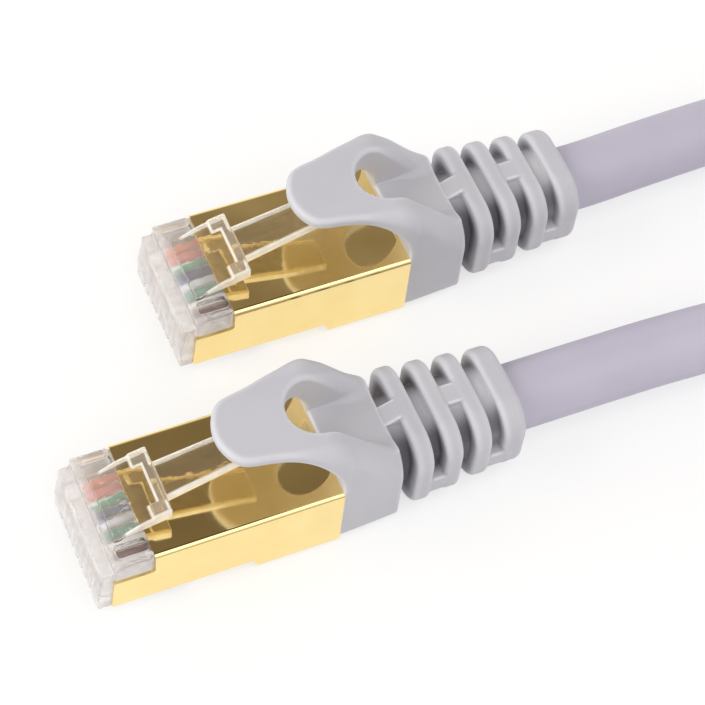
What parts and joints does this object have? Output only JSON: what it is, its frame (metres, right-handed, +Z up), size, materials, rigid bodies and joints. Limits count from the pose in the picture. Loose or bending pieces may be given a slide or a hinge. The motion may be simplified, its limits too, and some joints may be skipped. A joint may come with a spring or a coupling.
{
  "type": "ethernet patch cable",
  "caption": "Shielded network patch cable: a modular plug with clear nose, gold shell, sprung latch and snag-free boot on each end of a round cable, coiled.",
  "frame": {"origin": "middle of the two plugs' box, on the surface that they lie on", "axes": "+X from the plug noses along the plugs towards the cable, +Y from plug b to plug a, +Z up"},
  "size_m": [0.145, 0.0684, 0.0138],
  "materials": {
    "clear_plastic": "clear polycarbonate",
    "contact_gold": "gold plated",
    "guide_plastic": "milky moulded plastic",
    "wire_white_orange": "white insulation with an orange stripe",
    "wire_orange": "orange insulation",
    "wire_white_green": "white insulation with a green stripe",
    "wire_blue": "blue insulation",
    "wire_white_blue": "white insulation with a blue stripe",
    "wire_green": "green insulation",
    "wire_white_brown": "white insulation with a brown stripe",
    "wire_brown": "brown insulation",
    "copper": "bare copper",
    "foil": "thin foil",
    "braid": "tinned copper braid",
    "jacket": "lilac-grey cable jacket",
    "gold_plating": "mirror gold plating",
    "inner_mould": "plain moulded plastic",
    "boot": "lilac-grey moulded plastic"
  },
  "bodies": {
    "plugs_and_cable": {"housing_a": "clear_plastic", "contacts_a": "contact_gold", "wire_guide_a": "guide_plastic", "wire_white_orange_a": "wire_white_orange", "wire_orange_a": "wire_orange", "wire_white_green_a": "wire_white_green", "wire_blue_a": "wire_blue", "wire_white_blue_a": "wire_white_blue", "wire_green_a": "wire_green", "wire_white_brown_a": "wire_white_brown", "wire_brown_a": "wire_brown", "wire_cores_a": "copper", "pair_foils_a": "foil", "braid_a": "braid", "jacket_end_a": "jacket", "shell_a": "gold_plating", "inner_mould_a": "inner_mould", "boot_a": "boot", "strain_relief_a": "boot", "housing_b": "clear_plastic", "contacts_b": "contact_gold", "wire_guide_b": "guide_plastic", "wire_white_orange_b": "wire_white_orange", "wire_orange_b": "wire_orange", "wire_white_green_b": "wire_white_green", "wire_blue_b": "wire_blue", "wire_white_blue_b": "wire_white_blue", "wire_green_b": "wire_green", "wire_white_brown_b": "wire_white_brown", "wire_brown_b": "wire_brown", "wire_cores_b": "copper", "pair_foils_b": "foil", "braid_b": "braid", "jacket_end_b": "jacket", "shell_b": "gold_plating", "inner_mould_b": "inner_mould", "boot_b": "boot", "strain_relief_b": "boot", "cable_lead_a": "jacket", "cable_lead_b": "jacket", "cable_coil": "jacket"},
    "guard_of_plug_a": {"latch_guard_a": "boot"},
    "latch_of_plug_a": {"latch_a": "clear_plastic"},
    "guard_of_plug_b": {"latch_guard_b": "boot"},
    "latch_of_plug_b": {"latch_b": "clear_plastic"}
  },
  "joints": [
    {"name": "guard_hinge_a", "type": "hinge", "parent": "plugs_and_cable", "child": "guard_of_plug_a", "pos_m": [0.00975, 0.0102, 0.00825], "axis": [0, -1, 0], "range_deg": [0, 16], "stiffness_Nm_per_rad": 0.1},
    {"name": "latch_hinge_a", "type": "hinge", "parent": "plugs_and_cable", "child": "latch_of_plug_a", "pos_m": [-0.01015, 0.0102, 0.00755], "axis": [0, 1, 0], "range_deg": [0, 8], "stiffness_Nm_per_rad": 0.05},
    {"name": "guard_hinge_b", "type": "hinge", "parent": "plugs_and_cable", "child": "guard_of_plug_b", "pos_m": [-0.00525, -0.0102, 0.00825], "axis": [0, -1, 0], "range_deg": [0, 16], "stiffness_Nm_per_rad": 0.1},
    {"name": "latch_hinge_b", "type": "hinge", "parent": "plugs_and_cable", "child": "latch_of_plug_b", "pos_m": [-0.02515, -0.0102, 0.00755], "axis": [0, 1, 0], "range_deg": [0, 8], "stiffness_Nm_per_rad": 0.05}
  ],
  "couplings": [
    {"joint": "latch_hinge_a", "follows": "guard_hinge_a", "ratio": 0.5},
    {"joint": "latch_hinge_b", "follows": "guard_hinge_b", "ratio": 0.5}
  ]
}
